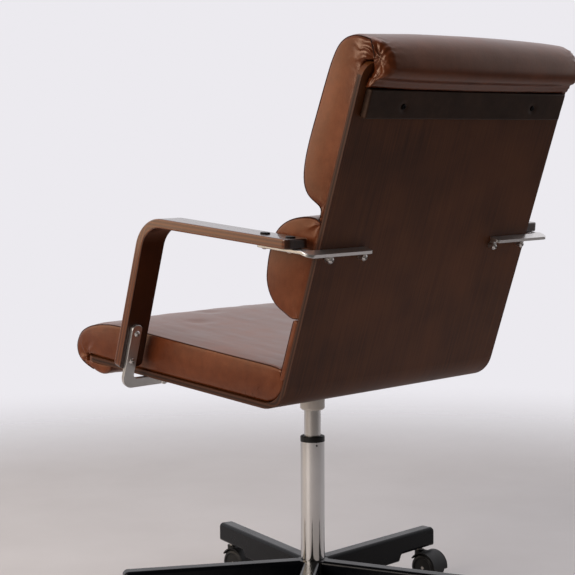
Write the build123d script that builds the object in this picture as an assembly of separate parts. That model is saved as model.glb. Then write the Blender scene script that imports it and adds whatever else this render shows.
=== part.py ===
from build123d import *
from math import atan2, cos, degrees, radians, sin
import os

# Swivel office chair: bent plywood shell, leather pads, strap armrests, gas lift and five castors.
# Millimetres. +Z is up, the chair faces -Y and the sitter's left is +X.
# The origin is on the floor, on the column's axis.

# ---------------------------------------------------------------- driving dimensions
SHELL_WIDTH = 500
SHELL_THICK = 9
SHELL_CORNER = Vector(172.9, 397.1)     # (Y, Z) where the seat's and the back's outer lines meet
SHELL_BEND_RADIUS = 50                  # outside of the bend
SEAT_RISE = 4.5                         # degrees, the seat rises to the front
BACK_LEAN = 18.26                       # degrees, the back leans to the rear
SEAT_LENGTH = 474.4                     # along the underside, corner to front edge
BACK_LENGTH = 546.4                     # along the rear face, corner to top edge
SHELL_TOP_RADIUS = 25

PAD_HALF_WIDTH = 249
PAD_GAP = 0.2                           # between a pad and what it lies on

ARM_CORNER = Vector(-82.0, 688.2)       # (Y, Z) where the arm's two outer lines meet
ARM_SLOPE = 4.3                         # degrees, the armrest rises to the front
ARM_LEAN = 16.5                         # degrees, the arm's leg leans forward at its foot
ARM_TOP_LENGTH = 323.9
ARM_LEG_LENGTH = 255.7
ARM_THICK = 15
ARM_BEND_RADIUS = 58
ARM_INSIDE_X = 255.7
ARM_WIDTH = 48.5

SCREW_RADIUS = 3                        # M6 throughout
SCREW_HEAD_RADIUS = 5.25
SCREW_HEAD_HEIGHT = 3.3
SCREW_HOLE_RADIUS = 3.1
BOSS_RADIUS = 5.5
BOSS_LENGTH = 10
INSERT_RADIUS = 4.5
INSERT_LENGTH = 8

REAR_BAR_WIDTH = 19
REAR_BAR_THICK = 5
REAR_BAR_TOP = 264                      # along the back from the shell's corner
REAR_BAR_INNER_X = 152
REAR_BAR_OUTER_X = 291
REAR_BAR_LEG_WIDTH = 21
REAR_BAR_FRONT_Y = 162
REAR_BOSS_ALONG = 249.7
REAR_BOSS_X = (231, 158)

FRONT_PLATE_THICK = 6
BRACKET_EASING = 1                      # roundness of the brackets' long edges
FRONT_PLATE_INNER_X = 275
FRONT_PLATE_OUTER_X = 296
FRONT_PLATE_END_X = 148
FRONT_PLATE_TOP_Z = 512
FRONT_PLATE_BOTTOM_Z = 404.5
FRONT_BOSS_ALONG = 298.5
FRONT_BOSS_X = (222, 158)
ARM_SCREW_X = 284.5
ARM_SCREW_Z = (498, 452.6)
ARM_CAP_X = 280.5
ARM_CAP_Y = (173.6, 226)
ARM_CAP_RADIUS = 7.5

BATTEN_HALF_LENGTH = 235
TOP_BATTEN = (465, 509, 12)             # along the back from, to, and thickness
FRONT_BATTEN = (384, 411, 6)            # along the seat from, to, and thickness
BATTEN_SCREW_X = 156
WOOD_SCREW_RADIUS = 1.8
BATTEN_POCKET = (4.8, 1.8)              # radius and depth of the pocket round a batten screw's head

TUBE_RADIUS = 20.4
TUBE_BORE_RADIUS = 19
TUBE_BOTTOM_Z = 52
TUBE_TOP_Z = 298
BUSH_TOP_Z = 307.4
BUSH_BOTTOM_Z = 228
CYLINDER_RADIUS = 14
CYLINDER_BORE_RADIUS = 12.5
CYLINDER_BOTTOM_Z = 110
CYLINDER_TOP_Z = 388
SOCKET_RADIUS = 20.8
SOCKET_BOTTOM_Z = 352.5
SOCKET_TOP_Z = 386
ROD_RADIUS = 5
PISTON_BOTTOM_Z = 234
RUNNING_GAP = 0.08

PLATE_HALF_WIDTH = 95
PLATE_HALF_LENGTH = 80
PLATE_THICK = 3
PLATE_BOLTS = (70, 60)                  # half spacing across and along
CHANNEL_HALF_LENGTH = 60
CHANNEL_HALF_WIDTH = 32
CHANNEL_FLOOR_Z = 378
LEVER_PIVOT = (-40, 398)                # (X, Z)
LEVER_KNEE = (-72, 388)
LEVER_END = (-222, 378)
LEVER_THICK = 5
LEVER_WIDTH = 12

LEG_COUNT = 5
FIRST_LEG_ANGLE = 38.25                 # degrees from +X, anticlockwise seen from above
LEG_TIP_RADIUS = 324
LEG_WIDTH = 28
LEG_WALL = 2.5
LEG_TOP_Z = 95
LEG_TIP_TOP_Z = 92.5
LEG_BOTTOM_Z = 46
LEG_STEP_RADIUS = 222                   # inside this the legs are deep, outside they clear the castors
LEG_TIP_BOTTOM_Z = 58
HUB_RADIUS = 26

CASTOR_RADIUS = 296                     # from the column to each castor's stem
CASTOR_TRAIL = 20
CASTOR_HEADINGS = (101, 78, 94, 90, 83)  # degrees from +X in which each castor's wheels trail
WHEEL_RADIUS = 25
WHEEL_INNER_FACE = 4.2
WHEEL_OUTER_FACE = 20.5
HOOD_RADIUS = 28.2
HOOD_GAP = 1.2
WEB_HALF_THICK = 3.5
STEM_RADIUS = 5.5
STEM_BOTTOM_Z = 46.2
STEM_TOP_Z = 84
AXLE_RADIUS = 3

# ---------------------------------------------------------------- the two faces that the rest lies on
SEAT_DIR = Vector(-cos(radians(SEAT_RISE)), sin(radians(SEAT_RISE)))
SEAT_UP = Vector(sin(radians(SEAT_RISE)), cos(radians(SEAT_RISE)))
BACK_DIR = Vector(sin(radians(BACK_LEAN)), cos(radians(BACK_LEAN)))
BACK_FRONT = Vector(-cos(radians(BACK_LEAN)), sin(radians(BACK_LEAN)))
ARM_REARWARD = Vector(cos(radians(ARM_SLOPE)), -sin(radians(ARM_SLOPE)))
ARM_DOWN = Vector(-sin(radians(ARM_LEAN)), -cos(radians(ARM_LEAN)))
ARM_LEG_REAR = Vector(cos(radians(ARM_LEAN)), -sin(radians(ARM_LEAN)))
COLUMN_ALONG = SHELL_CORNER.X / cos(radians(SEAT_RISE))    # the column's place along the seat


def on_seat(along, above=0):
    """Point (Y, Z): distance along the underside from the corner, and height above the underside."""
    return SHELL_CORNER + SEAT_DIR * along + SEAT_UP * above


def on_back(along, before=0):
    """Point (Y, Z): distance up the rear face from the corner, and distance in front of that face."""
    return SHELL_CORNER + BACK_DIR * along + BACK_FRONT * before


def offset_corner(corner, u, v, distance):
    """Corner of two lines moved inwards by the same distance."""
    return corner + (u + v) * (distance / abs(u.X * v.Y - u.Y * v.X))


def meeting(p, u, q, v):
    """Where the line through p along u meets the line through q along v."""
    cross = u.X * v.Y - u.Y * v.X
    gap = q - p
    return p + u * ((gap.X * v.Y - gap.Y * v.X) / cross)


def outline(corners):
    """Closed face in the side plane, from (point, corner radius) pairs."""
    radii = [radius for _, radius in corners]
    line = FilletPolyline(*[point for point, _ in corners], radius=radii, close=True)
    return make_face(Plane.YZ * line)


def across(face, half_width):
    """Side outline extended to both sides of the middle."""
    return extrude(face, amount=half_width, dir=(1, 0, 0), both=True)


def between(face, x_from, x_to):
    """Side outline extended from one X to another."""
    return extrude(Pos(x_from, 0, 0) * face, amount=x_to - x_from, dir=(1, 0, 0))


def bent_strip(corner, u, v, length_u, length_v, thick, outer_radius, end_radius=0):
    """Side outline of a strip with one bend, its outside lines running from the corner along u and v."""
    into_u = (v - u * u.dot(v)).normalized() * thick
    into_v = (u - v * u.dot(v)).normalized() * thick
    inner = offset_corner(corner, u, v, thick)
    return outline([
        (corner + u * length_u, end_radius),
        (corner, outer_radius),
        (corner + v * length_v, end_radius),
        (corner + v * length_v + into_v, end_radius),
        (inner, max(outer_radius - thick, 0.5)),
        (corner + u * length_u + into_u, end_radius),
    ])


def at_side(x, point):
    """Point in space from X and a (Y, Z) point."""
    return (x, point.X, point.Y)


def outward(x, point, normal):
    """Plane at a point of the side view, whose +Z runs along a normal in that view."""
    return Plane(origin=at_side(x, point), x_dir=(1, 0, 0), z_dir=(0, normal.X, normal.Y))


def under_seat(x, along, below=0):
    """Plane on the shell's underside, facing down."""
    return outward(x, on_seat(along, -below), SEAT_UP * -1)


def behind_back(x, along, off=0):
    """Plane on the shell's rear face, facing the rear."""
    return outward(x, on_back(along, -off), BACK_FRONT * -1)


def disc(radius, low, high):
    """Upright cylinder between two heights."""
    return Pos(0, 0, low) * extrude(Circle(radius), amount=high - low)


def tube(radius, bore, low, high):
    """Upright tube between two heights."""
    return Pos(0, 0, low) * extrude(Circle(radius) - Circle(bore), amount=high - low)


def both_sides(shape):
    """A piece on the sitter's left and its mirror image on the right."""
    return [shape, mirror(shape, about=Plane.YZ)]


def grouped(shapes):
    """Separate solids in one node."""
    return Compound(children=[solid for shape in shapes for solid in shape.solids()])


def on_legs(piece, angles):
    """The same piece on each leg."""
    return [Rot(0, 0, angle) * piece for angle in angles]


# ---------------------------------------------------------------- fasteners
def button_screw(length):
    """Button-head socket screw: the head stands on the plane and the shank runs down from it."""
    dome_radius = (SCREW_HEAD_RADIUS ** 2 + SCREW_HEAD_HEIGHT ** 2) / (2 * SCREW_HEAD_HEIGHT)
    head = Pos(0, 0, SCREW_HEAD_HEIGHT - dome_radius) * Sphere(dome_radius)
    head = head & disc(SCREW_HEAD_RADIUS, 0, SCREW_HEAD_HEIGHT)
    socket = Pos(0, 0, SCREW_HEAD_HEIGHT - 1.9) * extrude(RegularPolygon(2.3, 6), amount=4)
    return head - socket + disc(SCREW_RADIUS, -length, 0.2)


def hex_bolt(length):
    """Hexagon-head bolt standing on the plane."""
    head = extrude(RegularPolygon(5.8, 6), amount=4)
    return head + disc(SCREW_RADIUS, -length, 0.2)


def wood_screw(length):
    """Flat pan-head wood screw with a crossed recess."""
    head = fillet(disc(4.2, 0, 1.6).edges().group_by(Axis.Z)[-1], 1.0)
    recess = Pos(0, 0, 1.2) * (Box(4.4, 1, 1.4) + Box(1, 4.4, 1.4))
    return head - recess + disc(WOOD_SCREW_RADIUS, -length, 0.2)


def insert():
    """Threaded insert let into the shell, its mouth on the plane."""
    return tube(INSERT_RADIUS, SCREW_HOLE_RADIUS, -INSERT_LENGTH, -0.05)


SHELL_FIXINGS = (
    [behind_back(side * x, REAR_BOSS_ALONG) for x in REAR_BOSS_X for side in (1, -1)]
    + [under_seat(side * x, FRONT_BOSS_ALONG) for x in FRONT_BOSS_X for side in (1, -1)]
    + [under_seat(i * PLATE_BOLTS[0], COLUMN_ALONG + j * PLATE_BOLTS[1]) for i in (1, -1) for j in (1, -1)]
)
BATTEN_FIXINGS = (
    [behind_back(side * BATTEN_SCREW_X, sum(TOP_BATTEN[:2]) / 2 - 3) for side in (1, -1)]
    + [under_seat(side * BATTEN_SCREW_X, sum(FRONT_BATTEN[:2]) / 2) for side in (1, -1)]
)


# ---------------------------------------------------------------- shell and pads
def shell():
    """One bent plywood sheet: seat and back, with rounded corners and eased edges."""
    body = across(bent_strip(SHELL_CORNER, SEAT_DIR, BACK_DIR, SEAT_LENGTH, BACK_LENGTH,
                             SHELL_THICK, SHELL_BEND_RADIUS), SHELL_WIDTH / 2)
    ends = body.edges().filter_by(lambda e: abs(e.length - SHELL_THICK) < 0.01)
    body = fillet(ends, SHELL_TOP_RADIUS)
    for plane in SHELL_FIXINGS:
        body -= plane * disc(INSERT_RADIUS + 0.05, -INSERT_LENGTH, 1)
    for plane in BATTEN_FIXINGS:
        body -= plane * disc(WOOD_SCREW_RADIUS + 0.1, -7, 1)
    return body


def seat_pad():
    """Seat pad: it fills the bend, rounds over the front edge and ends in a roll under the seat."""
    face = SHELL_THICK + PAD_GAP
    front = SEAT_LENGTH + PAD_GAP
    corner = offset_corner(SHELL_CORNER, SEAT_DIR, BACK_DIR, face)
    return across(outline([
        (on_back(46, face), 0),
        (on_back(46, 21.5), 0),
        (on_back(63, 21.5), 3),
        (on_seat(110, 68), 120),
        (on_seat(300, 71), 300),
        (on_seat(497, 66), 36),
        (on_seat(493, -3), 18),
        (on_seat(433, -26), 20),
        (on_seat(FRONT_BATTEN[1] + PAD_GAP, -8), 1),
        (on_seat(FRONT_BATTEN[1] + PAD_GAP, -PAD_GAP), 0),
        (on_seat(front, -PAD_GAP), 0),
        (on_seat(front, face), 0),
        (corner, SHELL_BEND_RADIUS - face),
    ]), PAD_HALF_WIDTH)


def waist_band():
    """Thin padded band between the seat pad and the lumbar pad."""
    return across(outline([
        (on_back(46.3, SHELL_THICK + PAD_GAP), 0),
        (on_back(144, SHELL_THICK + PAD_GAP), 0),
        (on_back(144, 21.3), 2),
        (on_back(46.3, 21.3), 0),
    ]), PAD_HALF_WIDTH)


def lumbar_pad():
    """Lumbar roll with a deep rounded front."""
    return across(outline([
        (on_back(144.5, SHELL_THICK + PAD_GAP), 2),
        (on_back(299.5, SHELL_THICK + PAD_GAP), 2),
        (on_back(301, 95), 55),
        (on_back(206, 99), 60),
        (on_back(141, 84), 45),
    ]), PAD_HALF_WIDTH)


def upper_back_pad():
    """Upper pad: a thin valley, the thick pad, and a roll over the shell's top edge."""
    face = SHELL_THICK + PAD_GAP
    top = BACK_LENGTH + PAD_GAP
    return across(outline([
        (on_back(300, face), 0),
        (on_back(300, 20), 2),
        (on_back(324, 20), 3),
        (on_back(326, 67), 26),
        (on_back(430, 68), 300),
        (on_back(540, 63), 60),
        (on_back(580, 54), 30),
        (on_back(580, -24), 34),
        (on_back(520, -37), 26),
        (on_back(TOP_BATTEN[1] + PAD_GAP, -15), 4),
        (on_back(TOP_BATTEN[1] + PAD_GAP, -PAD_GAP), 0),
        (on_back(top, -PAD_GAP), 0),
        (on_back(top, face), 0),
    ]), PAD_HALF_WIDTH - 4)


def batten(place, start, end, thick):
    """Leather-covered batten that clamps a pad's tail to the shell."""
    width = end - start
    middle = place(0, (start + end) / 2)
    body = middle * Pos(0, 0, thick / 2) * Box(2 * BATTEN_HALF_LENGTH, width, thick)
    body = fillet(body.edges().filter_by(Axis.X), thick / 5)
    for plane in BATTEN_FIXINGS:
        pocket = disc(BATTEN_POCKET[0], thick - BATTEN_POCKET[1], thick + 1)
        body -= plane * (disc(WOOD_SCREW_RADIUS + 0.1, -1, thick + 1) + pocket)
    return body


def batten_screws():
    """Two screws through each batten."""
    thicknesses = (TOP_BATTEN[2],) * 2 + (FRONT_BATTEN[2],) * 2
    return grouped([plane * Pos(0, 0, thick - BATTEN_POCKET[1]) * wood_screw(thick + 3.5)
                    for plane, thick in zip(BATTEN_FIXINGS, thicknesses)])


# ---------------------------------------------------------------- armrests and brackets
ARM_INNER_CORNER = offset_corner(ARM_CORNER, ARM_REARWARD, ARM_DOWN, ARM_THICK)
FRONT_PLATE = outward(0, ARM_INNER_CORNER, ARM_LEG_REAR)    # its local +Y runs down the arm's leg


def down_leg(z, off=0):
    """Distance down the arm's leg from the inner corner to a height Z, at a distance off its rear face."""
    return (ARM_INNER_CORNER.Y - z - off * sin(radians(ARM_LEAN))) / cos(radians(ARM_LEAN))


def arm_top_plane(x, y):
    """Plane on the armrest's top, facing up."""
    along = (y - ARM_CORNER.X) / ARM_REARWARD.X
    return outward(x, ARM_CORNER + ARM_REARWARD * along, Vector(-ARM_REARWARD.Y, ARM_REARWARD.X))


def armrest():
    """Laminated strap: level armrest, one bend, and a leg that leans forward."""
    strap = between(bent_strip(ARM_CORNER, ARM_REARWARD, ARM_DOWN, ARM_TOP_LENGTH, ARM_LEG_LENGTH,
                               ARM_THICK, ARM_BEND_RADIUS), ARM_INSIDE_X, ARM_INSIDE_X + ARM_WIDTH)
    ends = strap.edges().filter_by(lambda e: abs(e.length - ARM_THICK) < 0.01)
    strap = fillet(ends, 9)
    rims = [face.outer_wire().edges() for face in strap.faces().filter_by(Axis.X)]
    strap = fillet(ShapeList([edge for rim in rims for edge in rim]), 2.2)
    for z in ARM_SCREW_Z:
        strap -= FRONT_PLATE * Pos(ARM_SCREW_X, down_leg(z), 0) * disc(SCREW_HOLE_RADIUS, -12, 1)
    for y in ARM_CAP_Y:
        strap -= arm_top_plane(ARM_CAP_X, y) * disc(INSERT_RADIUS + 0.1, -ARM_THICK - 1, 1)
    return strap


def arm_cap(y):
    """Sleeve nut in the armrest with a low domed cap on top."""
    dome = disc(ARM_CAP_RADIUS, 0, 2.4)
    dome = fillet(dome.edges().group_by(Axis.Z)[-1], 1.6)
    sleeve = disc(INSERT_RADIUS, -ARM_THICK + 1, 0.1) - disc(SCREW_HOLE_RADIUS, -ARM_THICK, -3)
    return arm_top_plane(ARM_CAP_X, y) * (dome + sleeve)


def rim_edges(bar):
    """Edges round the rear bracket's outline, where an upright wall meets its top or its underside."""
    walls = [face for face in bar.faces() if abs(face.normal_at().Z) < 0.01]
    upright = [edge for wall in walls for edge in wall.edges() if abs(edge.tangent_at(0.5).Z) > 0.99]
    rims = [edge for wall in walls for edge in wall.edges()]
    return ShapeList([edge for edge in rims if not any(edge.is_same(other) for other in upright)])


def boss(neck_length):
    """Drilled boss with a neck that joins it to its bar, standing on the plane towards +Y."""
    body = disc(BOSS_RADIUS, 0, BOSS_LENGTH)
    body += Pos(0, neck_length / 2, BOSS_LENGTH / 2) * Box(7, neck_length, BOSS_LENGTH - 2)
    return body - disc(SCREW_HOLE_RADIUS, -1, BOSS_LENGTH + 1)


def rear_bracket():
    """Flat bar: a leg screwed under the armrest, a corner, and a leg along the shell's back."""
    into_rear = BACK_FRONT * -1
    corner = meeting(ARM_INNER_CORNER, ARM_REARWARD, on_back(REAR_BAR_TOP), into_rear)
    front_length = (corner.X - REAR_BAR_FRONT_Y) / ARM_REARWARD.X
    rear_length = (on_back(REAR_BAR_TOP, -REAR_BAR_WIDTH).X - corner.X) / into_rear.X
    strip = bent_strip(corner, ARM_REARWARD * -1, into_rear, front_length, rear_length, REAR_BAR_THICK, 12)
    bar = between(strip, REAR_BAR_INNER_X, REAR_BAR_OUTER_X)
    rear_y = on_back(REAR_BAR_TOP, -REAR_BAR_WIDTH).X
    face_y = on_back(REAR_BAR_TOP).X + PAD_GAP
    inner_x = REAR_BAR_OUTER_X - REAR_BAR_LEG_WIDTH
    plan = FilletPolyline(
        (REAR_BAR_OUTER_X, REAR_BAR_FRONT_Y), (REAR_BAR_OUTER_X, rear_y), (REAR_BAR_INNER_X, rear_y),
        (REAR_BAR_INNER_X, face_y), (inner_x, face_y), (inner_x, REAR_BAR_FRONT_Y),
        radius=[9, 15, 6, 1, 5, 9], close=True)
    bar = bar & (Pos(0, 0, 600) * extrude(make_face(plan), amount=100))
    bar = fillet(rim_edges(bar), BRACKET_EASING)
    for y in ARM_CAP_Y:
        bar -= arm_top_plane(ARM_CAP_X, y) * disc(SCREW_HOLE_RADIUS, -ARM_THICK - REAR_BAR_THICK - 1, 1)
    neck = REAR_BAR_TOP - REAR_BAR_THICK - REAR_BOSS_ALONG + 1
    for x in REAR_BOSS_X:
        bar += behind_back(x, REAR_BOSS_ALONG, PAD_GAP) * Rot(0, 0, 180) * boss(neck)
    return bar


def front_bracket():
    """Flat L plate: up the back of the arm's leg, and inwards on edge under the seat."""
    top = down_leg(FRONT_PLATE_TOP_Z)
    bottom = down_leg(FRONT_PLATE_BOTTOM_Z, FRONT_PLATE_THICK)
    underside = meeting(ARM_INNER_CORNER, ARM_DOWN, SHELL_CORNER, SEAT_DIR)
    shelf = down_leg(underside.Y - 0.3)
    plan = FilletPolyline(
        (FRONT_PLATE_INNER_X, top), (FRONT_PLATE_OUTER_X, top), (FRONT_PLATE_OUTER_X, bottom),
        (FRONT_PLATE_END_X, bottom), (FRONT_PLATE_END_X, shelf), (FRONT_PLATE_INNER_X, shelf),
        radius=[9, 9, 22, 6, 2, 8], close=True)
    plate = extrude(make_face(plan), amount=FRONT_PLATE_THICK)
    rims = plate.edges().group_by(Axis.Z)
    plate = FRONT_PLATE * fillet(rims[0] + rims[-1], BRACKET_EASING)
    edge = meeting(ARM_INNER_CORNER + ARM_LEG_REAR * FRONT_PLATE_THICK, ARM_DOWN, on_seat(0, -5), SEAT_DIR)
    reach = (SHELL_CORNER.X - edge.X) / cos(radians(SEAT_RISE)) - FRONT_BOSS_ALONG + 1.5
    for x in FRONT_BOSS_X:
        plate += under_seat(x, FRONT_BOSS_ALONG, PAD_GAP) * boss(reach)
    for z in ARM_SCREW_Z:
        hole = disc(SCREW_HOLE_RADIUS, -1, FRONT_PLATE_THICK + 1)
        plate -= FRONT_PLATE * Pos(ARM_SCREW_X, down_leg(z), 0) * hole
    return plate


def bracket_screws():
    """Button-head screws: through the bosses into the shell, and through the brackets into the arms."""
    shell_side = [behind_back(x, REAR_BOSS_ALONG, BOSS_LENGTH + PAD_GAP) for x in REAR_BOSS_X]
    shell_side += [under_seat(x, FRONT_BOSS_ALONG, BOSS_LENGTH + PAD_GAP) for x in FRONT_BOSS_X]
    screws = [plane * button_screw(BOSS_LENGTH + 6) for plane in shell_side]
    for z in ARM_SCREW_Z:
        place = FRONT_PLATE * Pos(ARM_SCREW_X, down_leg(z), FRONT_PLATE_THICK)
        screws.append(place * button_screw(FRONT_PLATE_THICK + 11))
    for y in ARM_CAP_Y:
        place = arm_top_plane(ARM_CAP_X, y) * Pos(0, 0, -ARM_THICK - REAR_BAR_THICK) * Rot(180, 0, 0)
        screws.append(place * button_screw(REAR_BAR_THICK + 9))
    return grouped([copy for screw in screws for copy in both_sides(screw)])


# ---------------------------------------------------------------- under the seat
def seat_plate():
    """Pressed plate bolted under the shell, with a flange down at its front and rear."""
    middle = under_seat(0, COLUMN_ALONG)
    plate = extrude(RectangleRounded(2 * PLATE_HALF_WIDTH, 2 * PLATE_HALF_LENGTH, 12), amount=PLATE_THICK)
    for side in (1, -1):
        place = Pos(0, side * (PLATE_HALF_LENGTH - PLATE_THICK / 2), 7.5)
        plate += place * Box(2 * PLATE_HALF_WIDTH - 30, PLATE_THICK, 15)
    for i in (1, -1):
        for j in (1, -1):
            plate -= Pos(i * PLATE_BOLTS[0], j * PLATE_BOLTS[1], 0) * disc(SCREW_HOLE_RADIUS, -1, 5)
    return middle * plate


def socket_channel():
    """Channel welded under the plate: it holds the lift's socket and the lever's pivot."""
    length, width = 2 * CHANNEL_HALF_LENGTH, 2 * CHANNEL_HALF_WIDTH
    wall = 3
    body = Pos(0, 0, CHANNEL_FLOOR_Z) * extrude(Rectangle(length, width), amount=40)
    body -= Pos(0, 0, CHANNEL_FLOOR_Z + wall) * extrude(Rectangle(length + 2, width - 2 * wall), amount=60)
    body -= under_seat(0, COLUMN_ALONG, PLATE_THICK + 0.02) * Pos(0, 0, -30) * Box(300, 300, 60)
    body -= disc(SOCKET_RADIUS + 0.05, 370, 390)
    return body - Pos(LEVER_PIVOT[0], 0, LEVER_PIVOT[1]) * Rot(90, 0, 0) * Cylinder(AXLE_RADIUS + 0.05, 100)


def lift_socket():
    """Socket that the gas cylinder's top is pressed into."""
    body = tube(SOCKET_RADIUS, CYLINDER_RADIUS + 0.05, SOCKET_BOTTOM_Z, SOCKET_TOP_Z)
    rim = body.edges().filter_by(GeomType.CIRCLE).group_by(Axis.Z)[0].sort_by(SortBy.RADIUS)[-1]
    return chamfer(rim, 2.5)


def lever():
    """Height lever: flat bar over the release pin, pivoted in the channel and running out to the right."""
    pivot_x, pivot_z = LEVER_PIVOT
    half = LEVER_THICK / 2
    path = [(8, pivot_z), (pivot_x - 8, pivot_z), LEVER_KNEE, LEVER_END]
    upper = [(x, z + half) for x, z in path]
    lower = [(x, z - half) for x, z in reversed(path)]
    side = Plane.XZ * FilletPolyline(*upper, *lower, radius=[1, 8, 8, 1, 1, 8, 8, 1], close=True)
    bar = extrude(make_face(side), amount=LEVER_WIDTH / 2, both=True)
    eye = Pos(pivot_x, 0, pivot_z) * Rot(90, 0, 0)
    return bar + eye * Cylinder(5.5, LEVER_WIDTH) - eye * Cylinder(AXLE_RADIUS + RUNNING_GAP, 40)


def lever_paddle():
    """Moulded paddle pushed over the lever's end."""
    body = Box(54, 32, 11)
    body = fillet(body.edges().filter_by(Axis.Z), 12)
    body = fillet(body.edges().group_by(Axis.Z)[-1] + body.edges().group_by(Axis.Z)[0], 3.5)
    slot = Pos(13, 0, 0) * Box(36, LEVER_WIDTH + 0.2, LEVER_THICK + 0.2)
    slope = degrees(atan2(LEVER_KNEE[1] - LEVER_END[1], LEVER_KNEE[0] - LEVER_END[0]))
    return Pos(LEVER_END[0], 0, LEVER_END[1]) * Rot(0, -slope, 0) * Pos(4.9, 0, 0) * (body - slot)


def lever_pivot():
    """Pin across the channel that the lever turns on."""
    return (Pos(LEVER_PIVOT[0], 0, LEVER_PIVOT[1]) * Rot(90, 0, 0)
            * Cylinder(AXLE_RADIUS, 2 * CHANNEL_HALF_WIDTH + 3))


# ---------------------------------------------------------------- gas lift
def gas_cylinder():
    """Pressure tube, closed at the top round the release pin and at the bottom round the rod."""
    body = disc(CYLINDER_RADIUS, CYLINDER_BOTTOM_Z, CYLINDER_TOP_Z)
    body -= disc(CYLINDER_BORE_RADIUS, CYLINDER_BOTTOM_Z + 20, CYLINDER_TOP_Z - 10)
    body -= disc(ROD_RADIUS + RUNNING_GAP, CYLINDER_BOTTOM_Z - 1, CYLINDER_BOTTOM_Z + 21)
    return body - disc(4 + RUNNING_GAP, CYLINDER_TOP_Z - 11, CYLINDER_TOP_Z + 1)


def piston_rod():
    """Rod with the shoulder that stands on the thrust bearing and a groove for its clip."""
    body = disc(ROD_RADIUS, TUBE_BOTTOM_Z - 4.5, PISTON_BOTTOM_Z + 12)
    body += disc(12, TUBE_BOTTOM_Z + 10.1, TUBE_BOTTOM_Z + 13)
    return body - tube(ROD_RADIUS + 1, 4, TUBE_BOTTOM_Z - 2.6, TUBE_BOTTOM_Z - 0.9)


def guide_bush():
    """Plastic bush in the top of the column tube, with a flange that closes the tube."""
    body = tube(TUBE_BORE_RADIUS - 0.05, CYLINDER_RADIUS + RUNNING_GAP, BUSH_BOTTOM_Z, TUBE_TOP_Z + 0.1)
    body += tube(TUBE_RADIUS + 0.3, CYLINDER_RADIUS + RUNNING_GAP, TUBE_TOP_Z + 0.02, BUSH_TOP_Z)
    rim = body.edges().filter_by(GeomType.CIRCLE).group_by(Axis.Z)[-1].sort_by(SortBy.RADIUS)[-1]
    return fillet(rim, 2)


def outer_tube():
    """Column tube with a floor that the rod hangs through."""
    body = disc(TUBE_RADIUS, TUBE_BOTTOM_Z, TUBE_TOP_Z)
    body -= disc(TUBE_BORE_RADIUS, TUBE_BOTTOM_Z + 3, TUBE_TOP_Z + 1)
    return body - disc(ROD_RADIUS + 0.4, TUBE_BOTTOM_Z - 1, TUBE_BOTTOM_Z + 4)


PIN_PLACE = Rot(0, 0, 64) * Pos(TUBE_RADIUS, 0, TUBE_TOP_Z - 5) * Rot(0, 90, 0)


# ---------------------------------------------------------------- base
def leg_side(inset):
    """Leg outline in its own upright plane, moved in from the outside by the wall."""
    low = LEG_BOTTOM_Z - (1 if inset else 0)
    tip_low = LEG_TIP_BOTTOM_Z - (1 if inset else 0)
    tip = LEG_TIP_RADIUS - inset
    corners = FilletPolyline(
        (15, low), (LEG_STEP_RADIUS - inset, low), (LEG_STEP_RADIUS + 6 - inset, tip_low), (tip, tip_low),
        (tip, LEG_TIP_TOP_Z - inset), (15, LEG_TOP_Z - inset),
        radius=[0, 3, 5, 2, 9 - inset, 0], close=True)
    return make_face(Plane.XZ * corners)


def leg():
    """Inverted-U steel leg, closed at the tip and cut away underneath where the castor swings."""
    body = extrude(leg_side(0), amount=LEG_WIDTH / 2, both=True)
    sides = body.faces().filter_by(Axis.Y)
    rims = [edge for face in sides for edge in face.edges()
            if edge.center().Z > LEG_TIP_BOTTOM_Z + 4 and edge.center().X > 20]
    body = fillet(ShapeList(rims), 6)
    body -= extrude(leg_side(LEG_WALL), amount=LEG_WIDTH / 2 - LEG_WALL, both=True)
    return body - disc(HUB_RADIUS + 0.05, 0, 200)


def stem_sleeve():
    """Sleeve in the leg's tip that holds the castor's stem."""
    return Pos(CASTOR_RADIUS, 0, 0) * tube(8, STEM_RADIUS + RUNNING_GAP, LEG_TIP_BOTTOM_Z, STEM_TOP_Z + 3)


# ---------------------------------------------------------------- castors
def castor_wheel():
    """Solid wheel with a rounded tread and a dished face, on +Y of the castor's middle."""
    section = make_face(Plane.XY * FilletPolyline(
        (AXLE_RADIUS + 0.02, WHEEL_INNER_FACE), (WHEEL_RADIUS, WHEEL_INNER_FACE),
        (WHEEL_RADIUS, WHEEL_OUTER_FACE - 2), (19, WHEEL_OUTER_FACE), (17, WHEEL_OUTER_FACE - 2),
        (8, WHEEL_OUTER_FACE - 1.2), (AXLE_RADIUS + 0.02, WHEEL_OUTER_FACE - 1.2),
        radius=[0, 2, 5, 1, 1, 2, 0], close=True))
    return Pos(CASTOR_TRAIL, 0, WHEEL_RADIUS) * revolve(section, Axis.Y)


def castor_wheels():
    """The two wheels of one castor."""
    wheel = castor_wheel()
    return [wheel, mirror(wheel, about=Plane.XZ)]


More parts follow.
